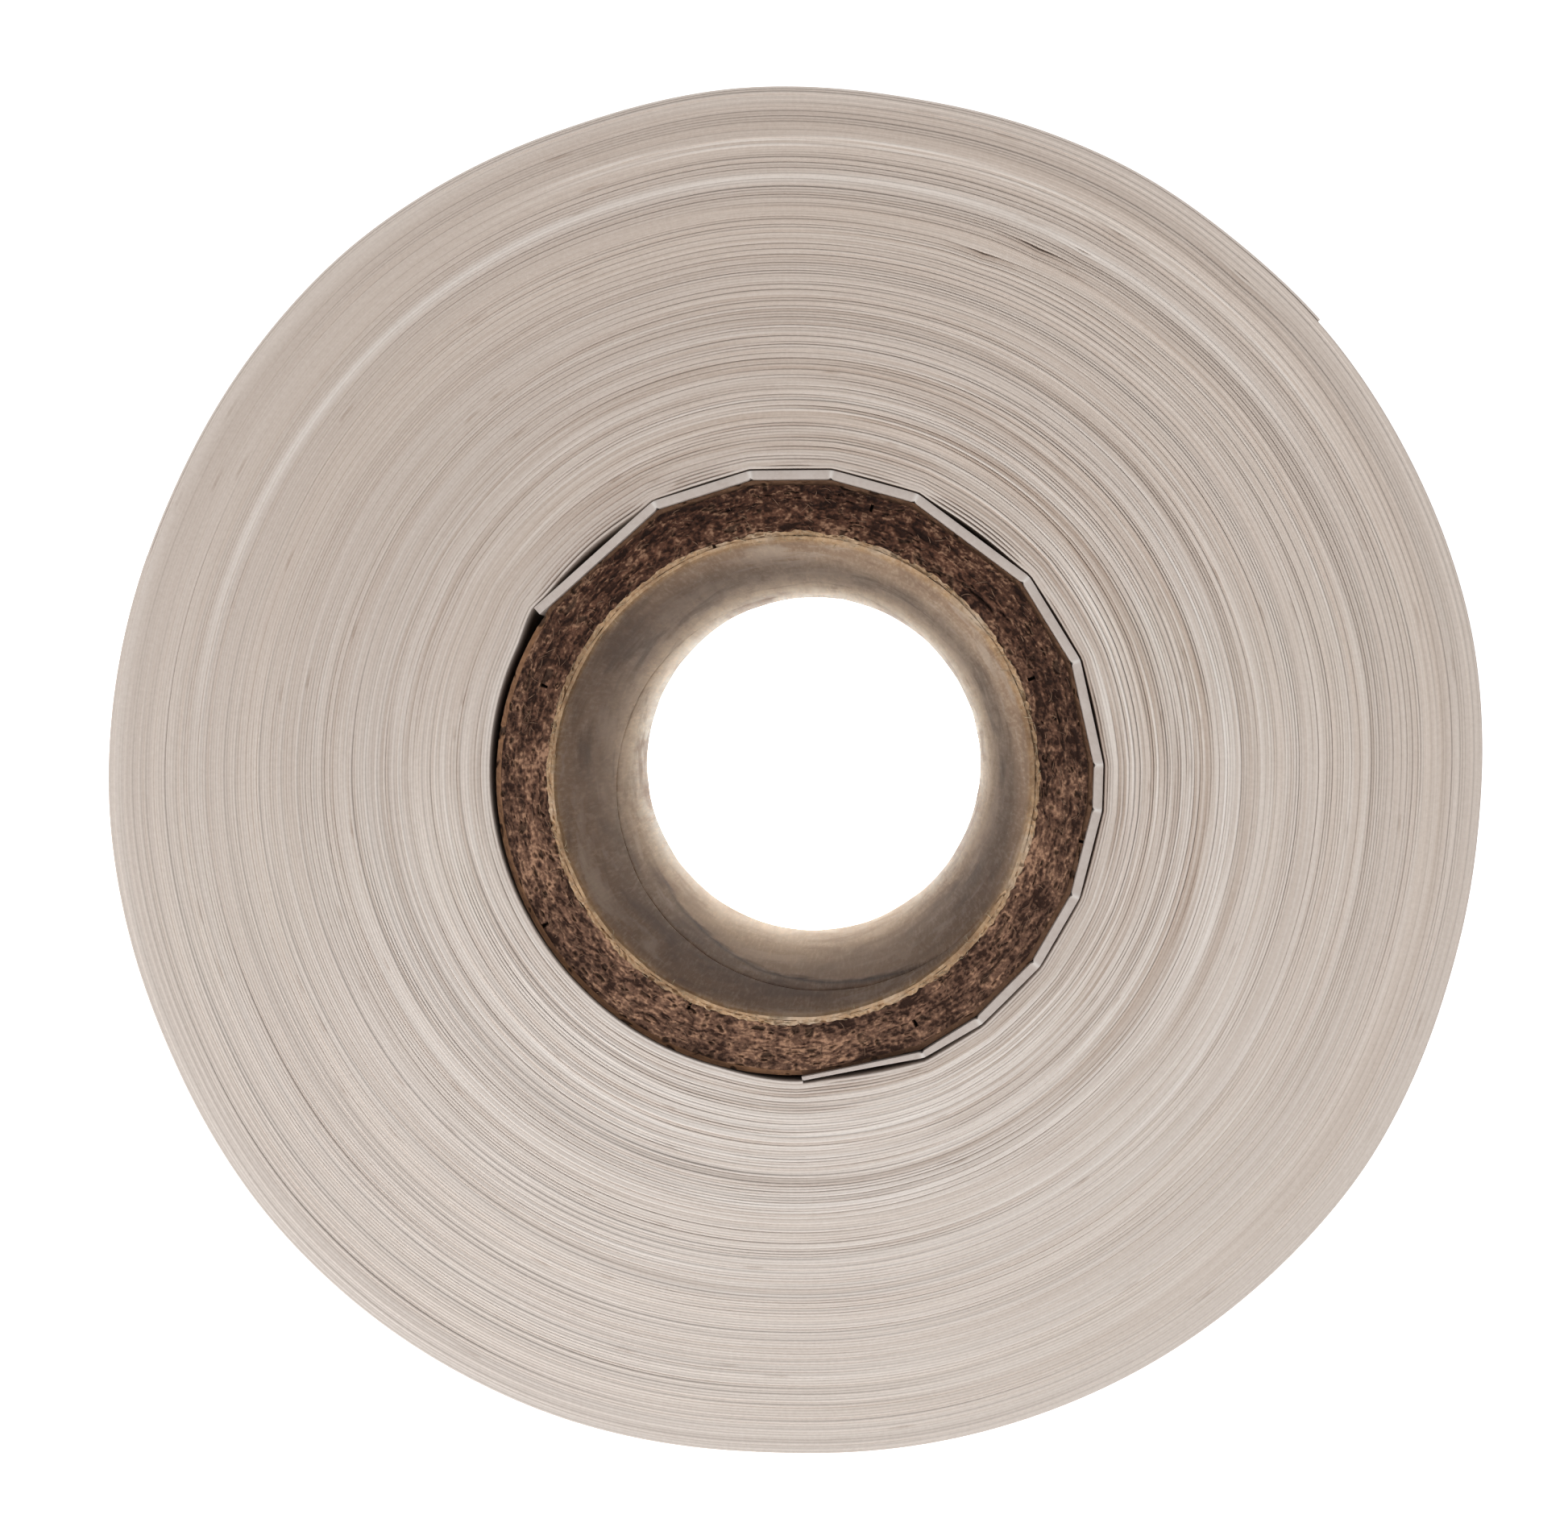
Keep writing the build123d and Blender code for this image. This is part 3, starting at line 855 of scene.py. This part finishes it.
def new_group(name, inputs, outputs):
    """An empty node group with named sockets: (name, kind, default)."""
    group = bpy.data.node_groups.new(name, "ShaderNodeTree")
    for label, kind, default in inputs:
        socket = group.interface.new_socket(label, in_out="INPUT", socket_type="NodeSocket" + kind)
        if default is not None:
            socket.default_value = default
    for label, kind in outputs:
        group.interface.new_socket(label, in_out="OUTPUT", socket_type="NodeSocket" + kind)
    return group, group.nodes.new("NodeGroupInput"), group.nodes.new("NodeGroupOutput")


def fibre_group():
    """Paper fibre: fine stretched grain over a soft mottle, as masks and a height."""
    if "Paper Fibre" in bpy.data.node_groups:
        return bpy.data.node_groups["Paper Fibre"]
    group, source, sink = new_group(
        "Paper Fibre",
        (("Vector", "Vector", None), ("Grain", "Float", 4000.0), ("Mottle", "Float", 500.0)),
        (("Fibre", "Float"), ("Mottle", "Float"), ("Specks", "Float"), ("Height", "Float")))
    vector, fine, coarse = (source.outputs[name] for name in ("Vector", "Grain", "Mottle"))
    bend = noise(group, vector, coarse, 2.0)
    moved = add(group, "VectorMath", {0: bend.outputs["Color"], 1: grey(0.0006)}, operation="MULTIPLY")
    warped = add(group, "VectorMath", {0: vector, 1: moved.outputs[0]}, operation="ADD").outputs[0]
    grain = noise(group, warped, fine, 5.0, 0.65)
    mottle = noise(group, vector, coarse, 4.0, 0.6)
    specks = add(group, "TexVoronoi", {"Vector": warped, "Scale": fine, "Randomness": 1.0})
    group.links.new(spread(group, grain.outputs[0], 0.32, 0.68), sink.inputs["Fibre"])
    group.links.new(spread(group, mottle.outputs[0], 0.3, 0.7), sink.inputs["Mottle"])
    group.links.new(spread(group, specks.outputs["Distance"], 0.0, 0.25, 1.0, 0.0), sink.inputs["Specks"])
    group.links.new(grain.outputs[0], sink.inputs["Height"])
    return group


def start_material(name):
    """A new material's tree, its Principled shader and its Object coordinates."""
    material = bpy.data.materials.new(name)
    material.use_nodes = True
    tree = material.node_tree
    shader = tree.nodes["Principled BSDF"]
    position = add(tree, "TexCoord").outputs["Object"]
    return material, tree, shader, position


def paper_fibre(tree, vector, grain, mottle):
    """The paper fibre group in a material, with its two scales."""
    return add(tree, "Group", {"Vector": vector, "Grain": grain, "Mottle": mottle}, node_tree=fibre_group()).outputs


def coat(tree, shader, colour, mask, smooth, rough):
    """Links the shader's colour, and its roughness, which runs from smooth to rough with the mask."""
    tree.links.new(colour, shader.inputs["Base Color"])
    tree.links.new(spread(tree, mask, 0.0, 1.0, smooth, rough), shader.inputs["Roughness"])


def stretched(tree, vector, scale):
    """The vector scaled on each axis."""
    return add(tree, "Mapping", {"Vector": vector, "Scale": scale}).outputs[0]


def bump(tree, shader, height, strength, distance):
    """A Bump node that feeds the shader's Normal."""
    node = add(tree, "Bump", {"Strength": strength, "Distance": distance, "Height": height})
    tree.links.new(node.outputs[0], shader.inputs["Normal"])


def web_material(colours):
    """Sleeve web: tone and warmth along its length, painted shade between turns, with a fine haze of scuffs.

    Upright faces, which are chiefly the outer wall's, carry lines ruled round the roll.
    """
    if "Sleeve Web" in bpy.data.materials:
        return bpy.data.materials["Sleeve Web"]
    material, tree, shader, position = start_material("Sleeve Web")
    tone, warmth, gap = (own(tree, name) for name in ("tone", "warmth", "gap"))
    fibre = paper_fibre(tree, position, 3000.0, 260.0)
    haze = times(tree, fibre["Fibre"], 0.16)
    grained = sums(tree, "ADD", tone, sums(tree, "SUBTRACT", haze, 0.08))
    bright = blend_colour(tree, warmth, colours.web, linear(240, 228, 217))
    dull = blend_colour(tree, warmth, linear(174, 158, 147), colours.web_warm)
    base = blend_colour(tree, spread(tree, grained, -0.1, 1.1), dull, bright)
    lines = noise(tree, stretched(tree, position, (0.02, 0.02, 1.0)), 1400.0, 4.0, 0.6)
    facing = add(tree, "SeparateXYZ", {0: add(tree, "NewGeometry").outputs["True Normal"]})
    upright = spread(tree, sums(tree, "ABSOLUTE", facing.outputs["Z"]), 0.2, 0.5, 1.0, 0.0)
    ruled = times(tree, spread(tree, lines.outputs[0], 0.35, 0.7), upright)
    base = blend_colour(tree, times(tree, ruled, 0.3), base, linear(176, 158, 146))
    # Painted shade: the gap field darkens the web between turns and on the walls inside the roll.
    shaded = blend_colour(tree, spread(tree, gap, 0.1, 1.0, 0.0, 0.8), base, colours.web_gap_shade)
    coat(tree, shader, shaded, fibre["Mottle"], 0.42, 0.62)
    shader.inputs["IOR"].default_value = 1.5
    shader.inputs["Specular IOR Level"].default_value = 0.35
    bump(tree, shader, fibre["Height"], 0.25, 0.00004)
    return material


def strip_material(colours):
    """Starter strip: pale card-like plastic, scuffed lighter at its creases."""
    material, tree, shader, position = start_material("Starter Strip")
    fibre = paper_fibre(tree, position, 2500.0, 400.0)
    mottled = blend_colour(tree, fibre["Mottle"], colours.strip, linear(188, 174, 165))
    speckled = blend_colour(tree, times(tree, fibre["Fibre"], 0.3), mottled, linear(222, 214, 208))
    creased = blend_colour(tree, times(tree, own(tree, "crease"), 0.6), speckled, linear(240, 235, 230))
    coat(tree, shader, creased, fibre["Mottle"], 0.45, 0.6)
    bump(tree, shader, fibre["Height"], 0.3, 0.00006)
    return material


def board_material(colours, ply):
    """Grey-brown board, mottled, with lighter fibres, painted shade in its pits, splits and seam slot, and darker
    towards +Y.

    The outer three plies darken more towards +Y, and each ply is a few hundredths lighter or darker than the next.
    """
    material, tree, shader, position = start_material(f"Core Board {ply + 1}")
    fibre = paper_fibre(tree, position, 2600.0 + 190 * ply, 620.0 + 45 * ply)
    parts = add(tree, "SeparateXYZ", {0: position})
    # Darker towards +Y, with fewer light fibres there.
    plus_y_share = spread(tree, parts.outputs["Y"], -0.012, 0.02)
    plus_y_tint = linear(208, 190, 182) if ply < 3 else linear(180, 160, 152)
    ground = blend_colour(tree, plus_y_share, colours.board, tinted(tree, colours.board, plus_y_tint))
    ground = tinted(tree, ground, grey(1.0 + 0.06 * ((ply * 7) % 5 - 2)))
    mixed = sums(tree, "ADD", times(tree, own(tree, "fibre"), 0.7), times(tree, fibre["Fibre"], 0.3))
    dark = tinted(tree, ground, linear(128, 116, 112))
    felted = blend_colour(tree, spread(tree, mixed, 0.28, 0.52), dark, ground)
    away_from_plus_y = spread(tree, plus_y_share, 0.0, 1.0, 1.0, 0.72)
    strands = times(tree, spread(tree, mixed, 0.55, 0.78, 0.0, 0.85), away_from_plus_y)
    fibred = blend_colour(tree, strands, felted, colours.board_fibre)
    # Pits, splits and the seam's slot: painted shade in the hollows.
    pit_shaded = blend_colour(tree, times(tree, own(tree, "pit"), 0.85), fibred, linear(36, 22, 17))
    coat(tree, shader, pit_shaded, fibre["Fibre"], 0.8, 0.95)
    shader.inputs["Specular IOR Level"].default_value = 0.25
    bump(tree, shader, fibre["Height"], 0.6, 0.00015)
    return material


def kraft_material(colours):
    """Kraft wrap: orange-brown, with lighter fibres, and painted shade in its pits and seam slot and where it sinks
    under the strip.
    """
    material, tree, shader, position = start_material("Kraft Wrap")
    fibre = paper_fibre(tree, stretched(tree, position, (1.0, 1.0, 0.3)), 2800.0, 500.0)
    mottled = blend_colour(tree, fibre["Mottle"], colours.kraft, linear(104, 70, 48))
    fibred = blend_colour(tree, times(tree, fibre["Fibre"], 0.35), mottled, linear(170, 128, 92))
    # Pits, the seam's slot and the sunk wrap under the strip: painted shade in the hollows.
    pit_shaded = blend_colour(tree, times(tree, own(tree, "pit"), 0.8), fibred, linear(40, 26, 19))
    coat(tree, shader, pit_shaded, fibre["Fibre"], 0.75, 0.92)
    bump(tree, shader, fibre["Height"], 0.4, 0.0001)
    return material


def liner_material(colours):
    """Kraft liner: tan and crumbed at the near rim, redder below it, with painted light paling it at the far end and
    painted shade on the -Y side.

    Streaks run along the bore, with dark and pale blots. A painted shadow line slants round part of the -Y side, at a
    height of 0.1248 plus 0.0374 times the angle in radians, wobbling with the blots. The wall has painted shade above
    it and painted light, paler, below.
    """
    material, tree, shader, position = start_material("Bore Liner")
    along = stretched(tree, position, (1.0, 1.0, 0.06))
    streak = noise(tree, along, 900.0, 5.0, 0.6).outputs[0]
    fine = noise(tree, along, 3200.0, 3.0, 0.6).outputs[0]
    fibre = paper_fibre(tree, position, 2300.0, 160.0)
    blot = noise(tree, stretched(tree, position, (1.0, 1.0, 0.4)), 130.0, 4.0, 0.62, 0.4).outputs[0]
    x, y, z = add(tree, "SeparateXYZ", {0: position}).outputs
    rim = spread(tree, z, (CORE_TOP - 7) * MM, (CORE_TOP - 1) * MM)
    # Painted light: the wall pales and greys towards the far end, as if lit through the open far end.
    far = spread(tree, z, 0.02, 0.09, 1.0, 0.0)
    wall = blend_colour(tree, far, linear(176, 148, 122), linear(204, 188, 163))
    # Painted shade: the wall darkens towards -Y.
    minus_y_shade = spread(tree, y, 0.004, -0.012)
    wall = blend_colour(tree, minus_y_shade, wall, tinted(tree, wall, linear(216, 208, 200)))
    far_end_painted_light = blend_colour(tree, spread(tree, z, 0.0, 0.03, 1.0, 0.0), wall, linear(190, 189, 184))
    tanned = blend_colour(tree, sums(tree, "POWER", rim, 3.0), far_end_painted_light, colours.liner)
    crumbs = times(tree, times(tree, fibre["Fibre"], rim), 0.6)
    crumbed = blend_colour(tree, crumbs, tanned, linear(150, 112, 80))
    streaks = times(tree, spread(tree, streak, 0.34, 0.66), 0.45)
    streaked = blend_colour(tree, streaks, crumbed, linear(136, 104, 80))
    flecks = times(tree, spread(tree, fine, 0.48, 0.75), 0.5)
    flecked = blend_colour(tree, flecks, streaked, linear(222, 200, 172))
    blotted = blend_colour(tree, spread(tree, blot, 0.5, 0.66, 0.0, 0.6), flecked, linear(96, 68, 50))
    mottled = blend_colour(tree, spread(tree, blot, 0.44, 0.32, 0.0, 0.55), blotted, linear(214, 198, 180))
    # Painted shadow line along a seam, with painted shade above it and painted light below it.
    turned = sums(tree, "ARCTAN2", y, x)
    wobble = times(tree, sums(tree, "SUBTRACT", blot, 0.5), 0.012)
    line = sums(tree, "ADD", times(tree, turned, 0.0374), 0.1248)
    above = sums(tree, "SUBTRACT", sums(tree, "ADD", z, wobble), line)
    window = times(tree, spread(tree, turned, -2.75, -2.2), spread(tree, turned, -0.7, -1.1))
    edge = times(tree, spread(tree, sums(tree, "ABSOLUTE", above), 0.0, 0.0035, 0.75, 0.0), window)
    shallow = times(tree, spread(tree, above, -0.002, 0.004, 0.0, 0.3), window)
    deep = times(tree, spread(tree, above, 0.0, -0.004, 0.0, 0.4), window)
    seam_light_and_shade = blend_colour(tree, deep, mottled, linear(208, 186, 160))
    seam_light_and_shade = blend_colour(tree, times(tree, shallow, spread(tree, rim, 1.0, 0.4)), seam_light_and_shade, linear(92, 66, 50))
    seam_shadowed = blend_colour(tree, edge, seam_light_and_shade, linear(62, 42, 32))
    coat(tree, shader, seam_shadowed, fibre["Fibre"], 0.7, 0.9)
    shader.inputs["Specular IOR Level"].default_value = 0.12
    bump(tree, shader, streak, 0.4, 0.00015)
    return material


def fibre_material(name, colour):
    """Loose fibres: pale, varying from place to place."""
    material, tree, shader, position = start_material(name)
    fibre = paper_fibre(tree, position, 1500.0, 300.0)
    darker = tuple(0.45 * part for part in linear(*colour))
    coat(tree, shader, blend_colour(tree, fibre["Mottle"], linear(*colour), darker), fibre["Fibre"], 0.7, 0.9)
    return material


# ---------------------------------------------------------------- stage

def build_stage():
    """Pale floor under the roll, broad soft lights, and the camera above the end.

    The floor glows a little, more so beyond the roll and under its bore.
    """
    scene = bpy.context.scene
    mesh = bpy.data.meshes.new("floor")
    reach, level = 40.0, -0.0012
    mesh.from_pydata([(-reach, -reach, level), (reach, -reach, level), (reach, reach, level), (-reach, reach, level)],
                     [], [(0, 1, 2, 3)])
    floor = bpy.data.objects.new("floor", mesh)
    scene.collection.objects.link(floor)
    material, tree, shader, position = start_material("Pale Floor")
    grain = noise(tree, position, 40.0, 3.0)
    tone = blend_colour(tree, grain.outputs[0], grey(0.86), grey(0.9))
    tree.links.new(tone, shader.inputs["Base Color"])
    shader.inputs["Roughness"].default_value = 0.9
    away = add(tree, "VectorMath", {0: position}, operation="LENGTH").outputs["Value"]
    glow = blend_colour(tree, spread(tree, away, 0.06, 0.088), grey(0.15), grey(0.42))
    glow = blend_colour(tree, spread(tree, away, 0.02, 0.03, 1.0, 0.0), glow, grey(1.0))
    tree.links.new(glow, shader.inputs["Emission Color"])
    shader.inputs["Emission Strength"].default_value = 2.6
    mesh.materials.append(material)
    lights = (
        ("key", (-0.3, -0.36, 0.52), 0.35, 3.05, (1.0, 0.985, 0.97)),
        ("top", (0.1, 0.15, 1.1), 0.9, 1.1, (0.98, 0.99, 1.0)),
        ("side", (0.7, 0.35, 0.5), 0.7, 0.4, (1.0, 0.98, 0.96)),
    )
    for name, spot, size, power, colour in lights:
        lamp = bpy.data.lights.new(name, "AREA")
        lamp.shape = "DISK"
        lamp.size = size
        lamp.energy = power
        lamp.color = colour
        holder = bpy.data.objects.new(name, lamp)
        holder.location = spot
        holder.rotation_euler = (Vector((0, 0, 0.1)) - Vector(spot)).to_track_quat("-Z", "Y").to_euler()
        scene.collection.objects.link(holder)
    world = bpy.data.worlds.new("studio")
    world.use_nodes = True
    sky = world.node_tree
    seen = add(sky, "LightPath").outputs["Is Camera Ray"]
    sky.links.new(blend_colour(sky, seen, grey(0.29), grey(0.97)), sky.nodes["Background"].inputs["Color"])
    scene.world = world
    scene.view_settings.view_transform = "Standard"
    eye = Vector((5.9, 4.05, 332.0)) * MM
    aim = Vector((-0.7, 1.25, 100.0)) * MM
    forward = (aim - eye).normalized()
    right = forward.cross(Vector((0, 1, 0))).normalized()
    up = right.cross(forward)
    lens = bpy.data.cameras.new("camera")
    lens.sensor_fit = "HORIZONTAL"
    lens.sensor_width = 36
    lens.lens = 63.53
    lens.clip_start = 0.01
    camera = bpy.data.objects.new("camera", lens)
    turn = Matrix((right, up, -forward)).transposed().to_4x4()
    camera.matrix_world = Matrix.Translation(eye) @ turn
    scene.collection.objects.link(camera)
    scene.camera = camera


# ---------------------------------------------------------------- add-on

def settings(context):
    """The scene's sizes and colours."""
    return context.scene.roll_sizes, context.scene.roll_colours


class SLEEVEROLL_OT_winding(bpy.types.Operator):
    """Build the wound web"""
    bl_idname = "sleeve_roll.winding"
    bl_label = "Wound Web"

    def execute(self, context):
        build_winding(*settings(context))
        return {"FINISHED"}


class SLEEVEROLL_OT_tail(bpy.types.Operator):
    """Build the free end of the web"""
    bl_idname = "sleeve_roll.tail"
    bl_label = "Free Web End"

    def execute(self, context):
        build_tail(*settings(context))
        return {"FINISHED"}


class SLEEVEROLL_OT_strip(bpy.types.Operator):
    """Build the creased starter strip"""
    bl_idname = "sleeve_roll.strip"
    bl_label = "Starter Strip"

    def execute(self, context):
        build_strip(*settings(context))
        return {"FINISHED"}


class SLEEVEROLL_OT_core(bpy.types.Operator):
    """Build the core's board plies and kraft wrap"""
    bl_idname = "sleeve_roll.core"
    bl_label = "Board Core"

    def execute(self, context):
        build_board(*settings(context))
        build_wrap(*settings(context))
        return {"FINISHED"}


class SLEEVEROLL_OT_liner(bpy.types.Operator):
    """Build the liner plies in the bore"""
    bl_idname = "sleeve_roll.liner"
    bl_label = "Bore Liner"

    def execute(self, context):
        build_liner(*settings(context))
        return {"FINISHED"}


class SLEEVEROLL_OT_fibres(bpy.types.Operator):
    """Build the loose fibres on the core's cut end"""
    bl_idname = "sleeve_roll.fibres"
    bl_label = "Loose Fibres"

    def execute(self, context):
        build_fibres(context.scene.roll_sizes)
        return {"FINISHED"}


class SLEEVEROLL_OT_stage(bpy.types.Operator):
    """Build the floor, the lights and the camera"""
    bl_idname = "sleeve_roll.stage"
    bl_label = "Stage"

    def execute(self, context):
        build_stage()
        return {"FINISHED"}


OPERATORS = (
    SLEEVEROLL_OT_stage, SLEEVEROLL_OT_winding, SLEEVEROLL_OT_tail, SLEEVEROLL_OT_strip, SLEEVEROLL_OT_core,
    SLEEVEROLL_OT_liner, SLEEVEROLL_OT_fibres,
)


class SLEEVEROLL_PT_panel(bpy.types.Panel):
    """Sizes, colours and pieces of the roll"""
    bl_idname = "SLEEVEROLL_PT_panel"
    bl_label = "Sleeve Roll"
    bl_space_type = "VIEW_3D"
    bl_region_type = "UI"
    bl_category = "Sleeve Roll"

    def draw(self, context):
        """Lists every setting and then every operator."""
        for group in settings(context):
            column = self.layout.column()
            for name in group.__annotations__:
                column.prop(group, name)
        column = self.layout.column()
        for operator in OPERATORS:
            column.operator(operator.bl_idname)


CLASSES = (RollSizes, RollColours) + OPERATORS + (SLEEVEROLL_PT_panel,)


def register():
    """Makes the classes and the scene's settings known."""
    for entry in CLASSES:
        bpy.utils.register_class(entry)
    bpy.types.Scene.roll_sizes = PointerProperty(type=RollSizes)
    bpy.types.Scene.roll_colours = PointerProperty(type=RollColours)


def unregister():
    """Takes them away again."""
    del bpy.types.Scene.roll_colours
    del bpy.types.Scene.roll_sizes
    for entry in reversed(CLASSES):
        bpy.utils.unregister_class(entry)


def main():
    """Builds every piece in order."""
    register()
    for operator in OPERATORS:
        group, name = operator.bl_idname.split(".")
        getattr(getattr(bpy.ops, group), name)()


if __name__ == "__main__":
    main()
